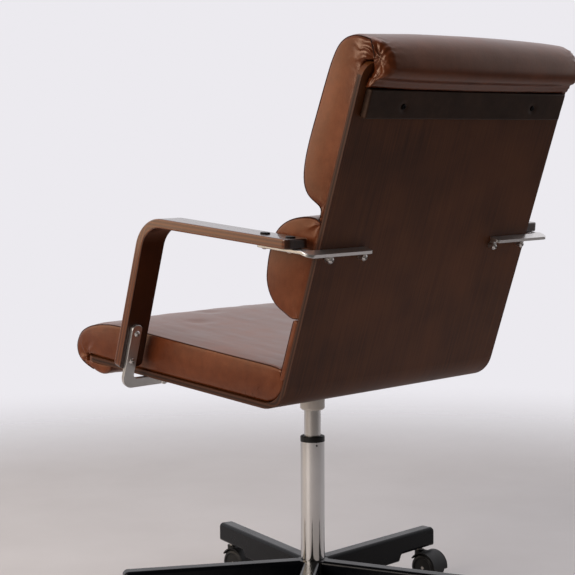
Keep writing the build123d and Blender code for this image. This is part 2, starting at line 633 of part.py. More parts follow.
def castor_hood():
    """Web between the wheels, boss for the stem, and a mudguard over the treads."""
    centre = Pos(CASTOR_TRAIL, 0, WHEEL_RADIUS) * Rot(90, 0, 0)
    guard = Cylinder(HOOD_RADIUS, 2 * WHEEL_OUTER_FACE) - Cylinder(WHEEL_RADIUS + HOOD_GAP, 60)
    cover = centre * guard - Pos(CASTOR_TRAIL, 0, -30 + WHEEL_RADIUS - 3) * Box(80, 60, 60)
    cover -= Pos(CASTOR_TRAIL - 40, 0, WHEEL_RADIUS) * Box(36, 60, 30)
    web = centre * Cylinder(HOOD_RADIUS - 0.5, 2 * WEB_HALF_THICK)
    web -= Pos(CASTOR_TRAIL, 0, -30 + 14) * Box(80, 60, 60)
    neck = disc(9, 40, 53.2) + Pos(6, 0, 48) * Box(12, 18, 8)
    space = tube(WHEEL_RADIUS + HOOD_GAP, AXLE_RADIUS + 4, 0, WHEEL_OUTER_FACE - WEB_HALF_THICK + 5)
    for side in (1, -1):
        neck -= Pos(CASTOR_TRAIL, side * WEB_HALF_THICK, WHEEL_RADIUS) * Rot(-90 * side, 0, 0) * space
    body = cover + web + neck
    body -= centre * Cylinder(AXLE_RADIUS + RUNNING_GAP, 60)
    return body - disc(STEM_RADIUS + 0.03, STEM_BOTTOM_Z - 0.1, 60)


def castor_stem():
    """Steel stem pressed into the hood and turning in the leg's sleeve."""
    stem = disc(STEM_RADIUS, STEM_BOTTOM_Z, STEM_TOP_Z)
    return chamfer(stem.edges().group_by(Axis.Z)[-1], 1)


def castor_axle():
    """Axle pressed into both wheels and turning in the hood."""
    length = 2 * WHEEL_OUTER_FACE - 3
    return Pos(CASTOR_TRAIL, 0, WHEEL_RADIUS) * Rot(90, 0, 0) * Cylinder(AXLE_RADIUS, length)


# ---------------------------------------------------------------- nodes
nodes = {}

nodes["shell"] = shell()
nodes["seat_pad"] = seat_pad()
nodes["waist_band"] = waist_band()
nodes["lumbar_pad"] = lumbar_pad()
nodes["upper_back_pad"] = upper_back_pad()
nodes["top_batten"] = batten(behind_back, *TOP_BATTEN)
nodes["front_batten"] = batten(under_seat, *FRONT_BATTEN)
nodes["batten_screws"] = batten_screws()
nodes["threaded_inserts"] = grouped([plane * insert() for plane in SHELL_FIXINGS])

for name, piece in (("armrest", armrest()), ("rear_bracket", rear_bracket()),
                    ("front_bracket", front_bracket())):
    nodes[name + "_left"], nodes[name + "_right"] = both_sides(piece)
nodes["arm_caps"] = grouped([copy for y in ARM_CAP_Y for copy in both_sides(arm_cap(y))])
nodes["bracket_screws"] = bracket_screws()

nodes["seat_plate"] = seat_plate()
nodes["seat_bolts"] = grouped([plane * Pos(0, 0, PLATE_THICK) * hex_bolt(PLATE_THICK + 6)
                               for plane in SHELL_FIXINGS[-4:]])
nodes["socket_channel"] = socket_channel()
nodes["lift_socket"] = lift_socket()
nodes["lever"] = lever()
nodes["lever_paddle"] = lever_paddle()
nodes["lever_pivot"] = lever_pivot()
nodes["release_pin"] = disc(4, CYLINDER_TOP_Z - 14, CYLINDER_TOP_Z + 7)

nodes["gas_cylinder"] = gas_cylinder()
nodes["piston_rod"] = piston_rod()
nodes["piston"] = tube(CYLINDER_BORE_RADIUS - RUNNING_GAP, ROD_RADIUS + 0.02,
                       PISTON_BOTTOM_Z, PISTON_BOTTOM_Z + 11)
nodes["rod_clip"] = tube(8, 4.05, TUBE_BOTTOM_Z - 2.5, TUBE_BOTTOM_Z - 1)
nodes["thrust_bearing"] = tube(16, ROD_RADIUS + 1, TUBE_BOTTOM_Z + 3, TUBE_BOTTOM_Z + 10)
nodes["outer_tube"] = outer_tube() - PIN_PLACE * Cylinder(1.55, 12)
nodes["guide_bush"] = guide_bush() - PIN_PLACE * Cylinder(1.55, 7)
nodes["bush_pin"] = PIN_PLACE * Pos(0, 0, -1.4) * Cylinder(1.5, 3.6)

nodes["hub"] = tube(HUB_RADIUS, TUBE_RADIUS + 0.05, LEG_BOTTOM_Z, LEG_TOP_Z - 1)
leg_angles = [FIRST_LEG_ANGLE + 360 / LEG_COUNT * k for k in range(LEG_COUNT)]
for number, piece in enumerate(on_legs(leg(), leg_angles), 1):
    nodes[f"leg_{number}"] = piece
nodes["stem_sleeves"] = grouped(on_legs(stem_sleeve(), leg_angles))

hood, stem, axle = castor_hood(), castor_stem(), castor_axle()
wheels = grouped(castor_wheels())
for number, (angle, heading) in enumerate(zip(leg_angles, CASTOR_HEADINGS), 1):
    place = Rot(0, 0, angle) * Pos(CASTOR_RADIUS, 0, 0) * Rot(0, 0, heading - angle)
    for name, piece in (("hood", hood), ("stem", stem), ("axle", axle), ("wheels", wheels)):
        nodes[f"castor_{name}_{number}"] = place * piece

os.makedirs("parts", exist_ok=True)
for name, shape in nodes.items():
    export_step(shape, f"parts/{name}.step")
print(len(nodes), "nodes written")
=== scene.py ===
# %% [markdown]
# # A swivel office chair, dressed in Blender
# The chair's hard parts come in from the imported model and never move. This lesson gives them their
# finishes, makes the leather pads that a solid modeller draws only as blocks, and sets the chair in a
# plain pale studio. Everything is in metres, +Z is up and the chair faces -Y.

# %% Load the fixed frame
from math import atan2, cos, exp, pi, radians, sin
import bpy
from mathutils import Matrix, Vector, noise


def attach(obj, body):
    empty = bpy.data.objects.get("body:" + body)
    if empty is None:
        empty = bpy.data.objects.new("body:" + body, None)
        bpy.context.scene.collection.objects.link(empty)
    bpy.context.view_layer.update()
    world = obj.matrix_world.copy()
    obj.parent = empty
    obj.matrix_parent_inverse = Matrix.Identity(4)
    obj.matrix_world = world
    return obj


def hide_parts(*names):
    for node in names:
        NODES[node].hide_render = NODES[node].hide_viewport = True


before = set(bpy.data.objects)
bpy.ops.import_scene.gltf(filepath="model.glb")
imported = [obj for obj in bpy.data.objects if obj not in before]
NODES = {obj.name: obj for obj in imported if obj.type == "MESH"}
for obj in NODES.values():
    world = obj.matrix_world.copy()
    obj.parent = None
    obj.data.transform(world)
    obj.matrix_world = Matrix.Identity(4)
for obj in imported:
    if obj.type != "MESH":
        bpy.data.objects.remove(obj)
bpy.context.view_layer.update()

MM = 0.001

# %% [markdown]
# ## Where the leather lies
# The shell is one bent sheet, so every place on the pads is easiest to say as a distance along the sheet
# and a height above it. Two functions turn such a pair into a point (Y, Z), one for the seat and one for
# the back, and a third finds places in the bend. The first two start at the corner where the seat's
# underside would meet the back's rear face. Typed coordinates would work too, but pairs like these read as
# a maker measures: so far up, so far off.

# %% The seat's and the back's own directions
CORNER = Vector((172.9, 397.1)) * MM        # (Y, Z)
SEAT_RISE, BACK_LEAN = radians(4.5), radians(18.26)
SEAT_DIR, SEAT_UP = Vector((-cos(SEAT_RISE), sin(SEAT_RISE))), Vector((sin(SEAT_RISE), cos(SEAT_RISE)))
BACK_DIR, BACK_FRONT = Vector((sin(BACK_LEAN), cos(BACK_LEAN))), Vector((-cos(BACK_LEAN), sin(BACK_LEAN)))
BEND_RADIUS = 50                            # outside of the shell's bend, mm
BEND_CENTRE = CORNER + (SEAT_DIR + BACK_DIR) * (BEND_RADIUS * MM / abs(SEAT_DIR.cross(BACK_DIR)))


def seat(along, above):
    """Point (Y, Z) from millimetres along the seat and above its underside."""
    return CORNER + SEAT_DIR * (along * MM) + SEAT_UP * (above * MM)


def back(along, before):
    """Point (Y, Z) from millimetres up the back and in front of its rear face."""
    return CORNER + BACK_DIR * (along * MM) + BACK_FRONT * (before * MM)


def bend(share, above):
    """Point (Y, Z) in the bend: share 0 is at the back's end of it and 1 at the seat's end."""
    radial = (BACK_FRONT * -(1 - share) + SEAT_UP * -share).normalized()
    return BEND_CENTRE + radial * ((BEND_RADIUS - above) * MM)


print("shell's bend centre:", [round(v, 4) for v in BEND_CENTRE])

# %% [markdown]
# ## Camera and studio
# The camera stands behind the chair on the sitter's left, at desk height, with a long lens. The floor is
# pale sealed concrete that fades into a pale backdrop, so the studio looks the same from every side. Most
# light comes from a bright side of the world beyond the chair, so the room behind the camera is dimmer: that
# is what gives chrome its dark streaks and leaves the shell's rear face deep. Two soft lamps on the
# sitter's left light the leather's side panels, and a third hangs over the chair.


# %% Colours and a node helper
def colour(code, alpha=1.0):
    """sRGB hex code to the linear colour that Blender wants."""
    parts = [int(code[i:i + 2], 16) / 255 for i in (1, 3, 5)]
    linear = [p / 12.92 if p <= 0.04045 else ((p + 0.055) / 1.055) ** 2.4 for p in parts]
    return (*linear, alpha)


def add(tree, kind, put=None, link=None, **settings):
    """Add a node with its settings, its socket values and the outputs linked to its sockets."""
    made = tree.nodes.new(kind)
    for name, value in settings.items():
        setattr(made, name, value)
    for socket, value in (put or {}).items():
        made.inputs[socket].default_value = value
    for socket, source in (link or {}).items():
        tree.links.new(source, made.inputs[socket])
    return made


def finish_named(name):
    """A new material with an empty Principled shader: returns (material, node tree, shader)."""
    material = bpy.data.materials.new(name)
    material.use_nodes = True
    tree = material.node_tree
    tree.nodes.clear()
    shader = add(tree, "ShaderNodeBsdfPrincipled")
    add(tree, "ShaderNodeOutputMaterial", link={"Surface": shader.outputs[0]})
    return material, tree, shader


# %% Camera
PLACE, HEADING, TILT, ROLL = (1.9544, 1.8747, 0.8139), radians(134.68), radians(84.62), radians(-0.26)
camera_data = bpy.data.cameras.new("camera")
camera_data.lens, camera_data.sensor_width = 101.47, 36
camera = bpy.data.objects.new("camera", camera_data)
bpy.context.scene.collection.objects.link(camera)
camera.matrix_world = (Matrix.Translation(PLACE) @ Matrix.Rotation(HEADING, 4, "Z")
                       @ Matrix.Rotation(TILT, 4, "X") @ Matrix.Rotation(ROLL, 4, "Z"))
bpy.context.scene.camera = camera
bpy.context.scene.view_settings.view_transform = "Standard"
print("camera at", [round(v, 3) for v in camera.location])

# %% World: a bright side beyond the chair and a dim room behind the camera
BEYOND = (-0.71, -0.70, 0.12)               # from the camera past the chair, slightly up
BACKDROP, BRIGHT_SIDE, DIM_SIDE, LOW_SIDE = "#ECEAEF", "#F4F2F6", "#4A4642", "#585553"
world = bpy.data.worlds.new("studio")
bpy.context.scene.world = world
world.use_nodes = True
tree = world.node_tree
tree.nodes.clear()
direction = add(tree, "ShaderNodeTexCoord").outputs["Generated"]
beyond = add(tree, "ShaderNodeVectorMath", put={1: BEYOND}, link={0: direction}, operation="DOT_PRODUCT")
ease = add(tree, "ShaderNodeMapRange", put={"From Min": -0.35, "From Max": 0.55},
           link={"Value": beyond.outputs["Value"]}, interpolation_type="SMOOTHSTEP")
surroundings = add(tree, "ShaderNodeMix", put={6: colour(DIM_SIDE), 7: colour(BRIGHT_SIDE)},
                   link={0: ease.outputs["Result"]}, data_type="RGBA")
height = add(tree, "ShaderNodeSeparateXYZ", link={0: direction}).outputs["Z"]
above = add(tree, "ShaderNodeMapRange", put={"From Min": -0.25, "From Max": 0.0}, link={"Value": height})
surroundings = add(tree, "ShaderNodeMix", put={6: colour(LOW_SIDE)}, data_type="RGBA",
                   link={0: above.outputs["Result"], 7: surroundings.outputs[2]})
seen = add(tree, "ShaderNodeBackground", put={"Color": colour(BACKDROP)})
lighting = add(tree, "ShaderNodeBackground", put={"Strength": 1.0}, link={"Color": surroundings.outputs[2]})
print("world is brightest along", BEYOND)
split = add(tree, "ShaderNodeMixShader", link={0: add(tree, "ShaderNodeLightPath").outputs["Is Camera Ray"],
                                               1: lighting.outputs[0], 2: seen.outputs[0]})
add(tree, "ShaderNodeOutputWorld", link={"Surface": split.outputs[0]})


# %% Soft lamps
def softbox(name, place, aim, size, power, tint):
    """Square area lamp at a place, turned to aim at a point."""
    data = bpy.data.lights.new(name, "AREA")
    data.shape, data.size, data.energy, data.color = "SQUARE", size, power, colour(tint)[:3]
    lamp = bpy.data.objects.new(name, data)
    bpy.context.scene.collection.objects.link(lamp)
    lamp.location = place
    lamp.rotation_euler = (Vector(aim) - Vector(place)).to_track_quat("-Z", "Y").to_euler()


softbox("side_window", (2.7, -0.1, 1.5), (0.0, 0.0, 0.5), 1.5, 54, "#FFF3E8")
softbox("window_beyond", (1.9, -2.1, 1.3), (0.0, 0.0, 0.5), 1.8, 17, "#FFE1B8")
softbox("ceiling", (-0.3, -0.2, 2.9), (0.0, 0.0, 0.4), 1.6, 20, "#F6F4FF")
print("lamps:", len(bpy.data.lights))

# %% Floor
FLOOR_RADIUS, FADE_START, FADE_END = 9, 1.15, 2.6
material, tree, shader = finish_named("sealed_concrete_floor")
place = add(tree, "ShaderNodeTexCoord").outputs["Object"]
clouds = add(tree, "ShaderNodeTexNoise", put={"Scale": 3.2, "Detail": 6, "Roughness": 0.6},
             link={"Vector": place})
tone = add(tree, "ShaderNodeMix", put={6: colour("#B7B3B1"), 7: colour("#C9C6C5")},
           link={0: clouds.outputs["Fac"]}, data_type="RGBA")
tree.links.new(tone.outputs[2], shader.inputs["Base Color"])
shader.inputs["Roughness"].default_value = 0.55
radius = add(tree, "ShaderNodeVectorMath", link={0: place}, operation="LENGTH")
fade = add(tree, "ShaderNodeMapRange", put={"From Min": FADE_START, "From Max": FADE_END},
           link={"Value": radius.outputs["Value"]}, interpolation_type="SMOOTHSTEP")
clear = add(tree, "ShaderNodeBsdfTransparent")
blend = add(tree, "ShaderNodeMixShader", link={0: fade.outputs[0], 1: shader.outputs[0], 2: clear.outputs[0]})
output = next(node for node in tree.nodes if node.type == "OUTPUT_MATERIAL")
tree.links.new(blend.outputs[0], output.inputs["Surface"])
bpy.ops.mesh.primitive_circle_add(vertices=96, radius=FLOOR_RADIUS, fill_type="NGON")
floor = bpy.context.object
floor.name = "floor"
floor.data.materials.append(material)
print("floor fades out from", FADE_START, "m to", FADE_END, "m")

# %% [markdown]
# ## Finishes for the hard parts
# A finish starts from what the real surface is: the colour of the bare material, how smooth it was made,
# and the marks of its making at their real size. Patterns read Object coordinates, which are the chair's
# own metres, so a scale of 1 / 0.02 gives features about 20 mm across. Painted images could do the same,
# but nodes stay sharp at any distance and need no unwrapping, so every finish here is made of nodes.

# %% Laminated wood
def depth_from(tree, place, normal, point):
    """Node output: depth of a place behind the face through point, whose outward normal is (Y, Z) normal."""
    level = add(tree, "ShaderNodeVectorMath", put={1: (0, normal.x, normal.y)}, link={0: place},
                operation="DOT_PRODUCT")
    return add(tree, "ShaderNodeMath", put={0: normal.dot(point)}, link={1: level.outputs["Value"]},
               operation="SUBTRACT").outputs[0]


def edge_mask(tree, place, inner, outer):
    """Node output: 1 on the sawn edges, where X is nearer the middle than inner or further out than outer."""
    x = add(tree, "ShaderNodeSeparateXYZ", link={0: place}).outputs["X"]
    size = add(tree, "ShaderNodeMath", link={0: x}, operation="ABSOLUTE").outputs[0]
    near = add(tree, "ShaderNodeMath", put={1: inner}, link={0: size}, operation="LESS_THAN").outputs[0]
    far = add(tree, "ShaderNodeMath", put={1: outer}, link={0: size}, operation="GREATER_THAN").outputs[0]
    return add(tree, "ShaderNodeMath", link={0: near, 1: far}, operation="MAXIMUM").outputs[0]


def laminated(name, grain_width, faces, plies, ply, outer_faces, edges, gloss):
    """Wood with long grain on its faces and plies, dark and light in turn, on its sawn edges.

    Faces and plies are (dark, light) tones. Grain_width and ply are the widths of one grain line and one
    ply in metres. Outer_faces holds a (normal, point) for each of the two faces that the plies follow.
    Edges is (inner, outer) for edge_mask, and gloss is (smoothest, roughest, specular, coat).
    """
    material, tree, shader = finish_named(name)
    place = add(tree, "ShaderNodeTexCoord").outputs["Object"]
    # grain lines run along the sheet, about 150 mm long
    long_grain = (1 / grain_width, 1 / 0.15, 1 / 0.15)
    along = add(tree, "ShaderNodeMapping", put={"Scale": long_grain}, link={"Vector": place})
    grain = add(tree, "ShaderNodeTexNoise", link={"Vector": along.outputs[0]},
                put={"Scale": 1, "Detail": 7, "Roughness": 0.62, "Distortion": 0.3}).outputs["Fac"]
    figure = add(tree, "ShaderNodeTexNoise", put={"Scale": 7, "Detail": 3},
                 link={"Vector": place}).outputs["Fac"]
    mixed = add(tree, "ShaderNodeMix", put={0: 0.55}, link={2: grain, 3: figure})
    face = add(tree, "ShaderNodeValToRGB", link={0: mixed.outputs[0]})
    # the smaller depth behind the two faces rounds the corner, so the ply lines follow the bend
    depths = [depth_from(tree, place, normal, point) for normal, point in outer_faces]
    depth = add(tree, "ShaderNodeMath", put={2: 0.02}, link={0: depths[0], 1: depths[1]},
                operation="SMOOTH_MIN")
    phase = add(tree, "ShaderNodeMath", put={1: pi / ply}, link={0: depth.outputs[0]}, operation="MULTIPLY")
    wave = add(tree, "ShaderNodeMath", link={0: phase.outputs[0]}, operation="SINE")
    share = add(tree, "ShaderNodeMapRange", put={"From Min": -1, "From Max": 1},
                link={"Value": wave.outputs[0]})
    streaky = add(tree, "ShaderNodeMix", put={0: 0.5}, link={2: share.outputs[0], 3: mixed.outputs[0]})
    edge = add(tree, "ShaderNodeValToRGB", link={0: streaky.outputs[0]})
    for ramp, codes, positions in ((face, faces, (0.36, 0.66)), (edge, plies, (0.3, 0.72))):
        for stop, code, position in zip(ramp.color_ramp.elements, codes, positions):
            stop.position, stop.color = position, colour(code)
    both = add(tree, "ShaderNodeMix", data_type="RGBA",
               link={0: edge_mask(tree, place, *edges), 6: face.outputs[0], 7: edge.outputs[0]})
    tree.links.new(both.outputs[2], shader.inputs["Base Color"])
    rough = add(tree, "ShaderNodeMapRange", put={"To Min": gloss[0], "To Max": gloss[1]},
                link={"Value": grain})
    tree.links.new(rough.outputs[0], shader.inputs["Roughness"])
    bump = add(tree, "ShaderNodeBump", put={"Strength": 0.05, "Distance": 0.3 * MM}, link={"Height": grain})
    tree.links.new(bump.outputs[0], shader.inputs["Normal"])
    shader.inputs["Specular IOR Level"].default_value = gloss[2]
    shader.inputs["Coat Weight"].default_value = gloss[3]
    shader.inputs["Coat Roughness"].default_value = 0.08
    return material


# %% Shell: walnut veneer on bent plywood, stained dark and rubbed to a satin
# Satin lacquer gives the eye depth without a mirror: faint upright grain, and a dull brown sawn edge.
# The plies are about 1.5 mm thick, too fine to show, so each is drawn 3 mm thick, dark and light in turn.
walnut = laminated("stained_walnut_veneer_satin", 2.2 * MM, ("#40210E", "#6A3D20"), ("#2A160D", "#45281A"),
                   3 * MM, ((-BACK_FRONT, back(0, 0)), (-SEAT_UP, seat(0, 0))), (-1, 0.2496),
                   (0.4, 0.52, 0.22, 0.0))

# %% Armrests: beech laminations under a glossy brown lacquer
# The lacquer mirrors the window on top. The sawn sides are lighter and show a few plies, also 3 mm thick.
ARM_CORNER = Vector((-82.0, 688.2)) * MM
ARM_TOP = Vector((sin(radians(4.3)), cos(radians(4.3))))
ARM_FRONT = Vector((-cos(radians(16.5)), sin(radians(16.5))))
bent_beech = laminated("bent_beech_gloss_lacquer", 1.6 * MM, ("#1F0B04", "#42210F"), ("#4C2510", "#663716"),
                       3 * MM, ((ARM_TOP, ARM_CORNER), (ARM_FRONT, ARM_CORNER)), (0.2569, 0.3030),
                       (0.25, 0.36, 0.4, 0.6))
print("wood finishes:", walnut.name, bent_beech.name)


# %% Metals and plastics
def smooth_finish(name, base, metallic, rough, mottle, grit=0.0, specular=0.5, bump_mm=0.0):
    """A hard finish: roughness varies over clouds mottle metres across, and bumps are grit metres across."""
    material, tree, shader = finish_named(name)
    place = add(tree, "ShaderNodeTexCoord").outputs["Object"]
    shader.inputs["Base Color"].default_value = colour(base)
    shader.inputs["Metallic"].default_value = metallic
    shader.inputs["Specular IOR Level"].default_value = specular
    clouds = add(tree, "ShaderNodeTexNoise", put={"Scale": 1 / mottle, "Detail": 5}, link={"Vector": place})
    spread = add(tree, "ShaderNodeMapRange", link={"Value": clouds.outputs["Fac"]},
                 put={"From Min": 0.3, "From Max": 0.7, "To Min": rough[0], "To Max": rough[1]})
    tree.links.new(spread.outputs[0], shader.inputs["Roughness"])
    if grit:
        pits = add(tree, "ShaderNodeTexNoise", put={"Scale": 1 / grit, "Detail": 2}, link={"Vector": place})
        bump = add(tree, "ShaderNodeBump", put={"Strength": 0.5, "Distance": bump_mm * MM},
                   link={"Height": pits.outputs["Fac"]})
        tree.links.new(bump.outputs[0], shader.inputs["Normal"])
    return material


# chromium plate over polished steel: mirror-like, with faint wiping marks 40 mm across
chrome = smooth_finish("polished_chromium_plate", "#CFCECD", 1.0, (0.08, 0.16), 0.04)
# the flat brackets are plated over brushed bar, so they shine softly instead of mirroring
satin_chrome = smooth_finish("satin_chromium_plate", "#D4D2D0", 1.0, (0.3, 0.38), 0.03)
# ground and lightly oiled steel rod: a soft even shine
ground_steel = smooth_finish("ground_steel_satin", "#C8C5C2", 1.0, (0.28, 0.36), 0.03)
# stoving enamel in light grey on the socket
grey_enamel = smooth_finish("grey_stoving_enamel", "#E2DBD4", 0.0, (0.32, 0.42), 0.03, 2 * MM, 0.5, 0.03)
# black enamel on the pressed steel legs: bluish black, soft sheen, orange peel 3 mm across
black_enamel = smooth_finish("black_stoving_enamel", "#080A0E", 0.0, (0.2, 0.3), 0.05, 3 * MM, 0.12, 0.02)
# oil-blackened steel screws and caps
blackened = smooth_finish("oil_blackened_steel", "#161413", 1.0, (0.35, 0.5), 0.01)
# moulded nylon on castors, bush and paddle: dull black with a fine spark-eroded texture
nylon = smooth_finish("moulded_black_nylon", "#121213", 0.0, (0.42, 0.55), 0.02, 1.5 * MM, 0.3, 0.06)
print("hard finishes made:", len(bpy.data.materials))

# %% Give each solid part its finish
PART_FINISHES = {
    walnut: ("shell",),
    bent_beech: ("armrest_",),
    chrome: ("outer_tube",),
    satin_chrome: ("rear_bracket_", "front_bracket_", "bracket_screws"),
    ground_steel: ("gas_cylinder", "piston", "rod_clip", "thrust_bearing", "seat_bolts", "lever",
                   "release_pin", "threaded_inserts", "castor_stem_", "castor_axle_"),
    grey_enamel: ("lift_socket",),
    black_enamel: ("hub", "leg_", "stem_sleeves", "seat_plate", "socket_channel"),
    blackened: ("arm_caps", "batten_screws", "bush_pin"),
    nylon: ("guide_bush", "lever_paddle", "castor_hood_", "castor_wheels_"),
}
dressed = {}
for finish, starts in PART_FINISHES.items():
    for name in sorted(NODES):
        # the paddle's name starts like the lever's, but the paddle is nylon
        if name.startswith(starts) and not (name == "lever_paddle" and finish is ground_steel):
            NODES[name].data.materials.clear()
            NODES[name].data.materials.append(finish)
            dressed[name] = finish.name
print("solid parts dressed:", len(dressed), " left for pads:", sorted(set(NODES) - set(dressed)))

# %% [markdown]
# ## Leather
# The pads are covered in chestnut calf leather, dyed through and waxed. It gives the eye a warm brown in
# darker and lighter clouds, a soft broad highlight under a thin wax gloss, and grain. The real grain is
# about 1 mm across, too fine to show from the camera 2.7 m away, so it is drawn 3.5 mm across. One function
# makes all three leathers, which differ in tone and wax only: the battens' darker tones are painted shade
# for the shell's rear face under the roll, and the piping's darker still are painted shade in the seams.


# %% Waxed calf leather
def leather(name, tones, rough, specular):
    """Waxed leather in clouds of three tones, darkest first; the clouds are noise and don't follow folds."""
    material, tree, shader = finish_named(name)
    place = add(tree, "ShaderNodeTexCoord").outputs["Object"]
    hide = add(tree, "ShaderNodeTexNoise", put={"Scale": 1 / 0.09, "Detail": 5, "Roughness": 0.55},
               link={"Vector": place})
    fine = add(tree, "ShaderNodeTexNoise", put={"Scale": 1 / 0.012, "Detail": 4}, link={"Vector": place})
    mixed = add(tree, "ShaderNodeMix", put={0: 0.3}, link={2: hide.outputs["Fac"], 3: fine.outputs["Fac"]})
    tone = add(tree, "ShaderNodeValToRGB", link={0: mixed.outputs[0]})
    tone.color_ramp.elements.new(0.5)
    for stop, code, position in zip(tone.color_ramp.elements, tones, (0.3, 0.5, 0.72)):
        stop.position, stop.color = position, colour(code)
    tree.links.new(tone.outputs[0], shader.inputs["Base Color"])
    spread = add(tree, "ShaderNodeMapRange", link={"Value": mixed.outputs[0]},
                 put={"From Min": 0.3, "From Max": 0.7, "To Min": rough[0], "To Max": rough[1]})
    tree.links.new(spread.outputs[0], shader.inputs["Roughness"])
    pebbles = add(tree, "ShaderNodeTexVoronoi", put={"Scale": 1 / (3.5 * MM), "Randomness": 0.9},
                  link={"Vector": place}, feature="SMOOTH_F1")
    creases = add(tree, "ShaderNodeTexNoise", put={"Scale": 1 / 0.035, "Detail": 6, "Distortion": 0.8},
                  link={"Vector": place})
    surface = add(tree, "ShaderNodeMix", put={0: 0.6},
                  link={2: pebbles.outputs["Distance"], 3: creases.outputs["Fac"]})
    bump = add(tree, "ShaderNodeBump", put={"Strength": 0.22, "Distance": 0.9 * MM},
               link={"Height": surface.outputs[0]})
    tree.links.new(bump.outputs[0], shader.inputs["Normal"])
    shader.inputs["Specular IOR Level"].default_value = specular
    # wax over brown dye mirrors a little warm
    shader.inputs["Specular Tint"].default_value = colour("#FFDCC2")
    return material


chestnut = leather("waxed_calf_leather_chestnut", ("#4C2210", "#5C2D17", "#703A20"), (0.27, 0.37), 0.52)
# the battens' leather: tones darker than the chestnut are painted shade for the shell's rear face under the
# roll
batten_leather_painted_shade = leather("waxed_calf_leather_painted_shade", ("#221713", "#33241D", "#453127"), (0.42, 0.55), 0.22)
# the rolled seam edge is modelled; its darker, duller leather is painted shade in the seam's groove
seam_leather_painted_shade = leather("rolled_seam_edge_painted_shade", ("#24120A", "#341B10", "#472717"), (0.55, 0.65), 0.1)
print("leathers:", chestnut.name, batten_leather_painted_shade.name)

# %% [markdown]
# ## How the pads are made
# An upholsterer sews a top cover to two side panels and pulls it over foam. A pad here is made the same
# way: a row of rounded sections is set along the pad's side outline, from the line where the pad lies on
# the shell (the inner line) to the line of its outside (the outer line). The seam between cover and side
# panel is then held still while a cloth simulation blows the leather up a little from inside, so cover and
# panels swell between the seams as they do over foam. Piping and pleats are added after that. A bevelled
# box could be sculpted instead, but it has no seams to hold and no outline that turns round the sheet.


# %% Smooth line through points
def smooth_line(points, spacing):
    """Points at about equal spacing on a smooth line through pairs (outer, inner); the pairs stay matched."""
    made = []
    for i in range(len(points) - 1):
        before, start, end = points[max(i - 1, 0)], points[i], points[i + 1]
        after = points[min(i + 2, len(points) - 1)]
        steps = max(1, round((end[0] - start[0]).length / spacing))
        for step in range(steps):
            t = step / steps
            outer = 0.5 * (2 * start[0] + (end[0] - before[0]) * t
                           + (2 * before[0] - 5 * start[0] + 4 * end[0] - after[0]) * t ** 2
                           + (3 * start[0] - before[0] - 3 * end[0] + after[0]) * t ** 3)
            made.append((outer, start[1].lerp(end[1], t), i + t))
    made.append((points[-1][0], points[-1][1], len(points) - 1))
    return made


# %% Section loops
COLUMNS = 41                                # points across the cover
ARC_STEPS = 6                               # points round the corner between cover and side panel
SIDE_STEPS = 9                              # points down the flat of the side panel
PANEL = ARC_STEPS + SIDE_STEPS              # points on one side panel, its rounded corner included
LOOP = 2 * COLUMNS + 2 * PANEL
SEAM_RIGHT, SEAM_LEFT = COLUMNS + ARC_STEPS // 2 - 1, LOOP - ARC_STEPS // 2


def section(outer, inner, half, seam, crown):
    """One closed section of a pad as (x, y, z) points; seam is the roundness where cover meets side panel."""
    up, height = (outer - inner).normalized(), (outer - inner).length
    seam = min(seam, height * 0.45)
    flat = half - seam
    shares = [2 * k / (COLUMNS - 1) - 1 for k in range(COLUMNS)]
    xs = [flat * (1 if t > 0 else -1) * (1 - (1 - abs(t)) ** 1.6) for t in shares]
    top = [(x, height + crown * (1 - (x / half) ** 2)) for x in xs]
    angles = [pi / 2 * k / ARC_STEPS for k in range(1, ARC_STEPS + 1)]
    arc = [(flat + seam * sin(a), height - seam + seam * cos(a)) for a in angles]
    foot = min(2.5 * MM, height * 0.2)
    side = [(half, (height - seam) * (1 - k / SIDE_STEPS) + foot * k / SIDE_STEPS)
            for k in range(1, SIDE_STEPS)]
    right = arc + side + [(half - foot * 0.3, foot * 0.3)]
    loop = top + right + [(x, 0) for x in xs[::-1]] + [(-x, h) for x, h in right[::-1]]
    return [(x, *(inner + up * h)) for x, h in loop]


print("points in one section:", LOOP)


def along_stations(values, place):
    """Value between two stations, from a list of values per station; past its end the last slope goes on."""
    low = min(int(place), len(values) - 2)
    return values[low] + (values[low + 1] - values[low]) * (place - low)


def pad_mesh(name, stations, widths, seams, crown, spacing):
    """Closed pad from matched (outer, inner) points, with a half-width and seam roundness in mm for each."""
    line = smooth_line(stations, spacing * MM)
    points, rows = [], len(line)
    for outer, inner, place in line:
        half, seam = along_stations(widths, place) * MM, along_stations(seams, place) * MM
        points += section(outer, inner, half, seam, crown * MM)
    faces = [(r * LOOP + k, r * LOOP + (k + 1) % LOOP, (r + 1) * LOOP + (k + 1) % LOOP, (r + 1) * LOOP + k)
             for r in range(rows - 1) for k in range(LOOP)]
    for first in (0, (rows - 1) * LOOP):
        foot = 2 * COLUMNS + PANEL - 1      # the inner line's point below the cover's first point
        cap = [(k, foot - k, foot - k - 1, k + 1) for k in range(COLUMNS - 1)]
        cap.append(tuple(range(COLUMNS - 1, COLUMNS + PANEL + 1)))
        cap.append(tuple([*range(foot, LOOP), 0]))
        faces += [tuple(first + v for v in face) for face in cap]
    mesh = bpy.data.meshes.new(name)
    mesh.from_pydata(points, [], faces)
    pad = bpy.data.objects.new(name, mesh)
    bpy.context.scene.collection.objects.link(pad)
    bpy.ops.object.select_all(action="DESELECT")
    bpy.context.view_layer.objects.active = pad
    bpy.ops.object.mode_set(mode="EDIT")
    bpy.ops.mesh.select_all(action="SELECT")
    bpy.ops.mesh.normals_make_consistent(inside=False)
    bpy.ops.object.mode_set(mode="OBJECT")
    return pad, rows


# %% Swell the leather over its foam
LAST_FRAME = 20
STIFFNESS = 8                               # waxed hide resists small folds


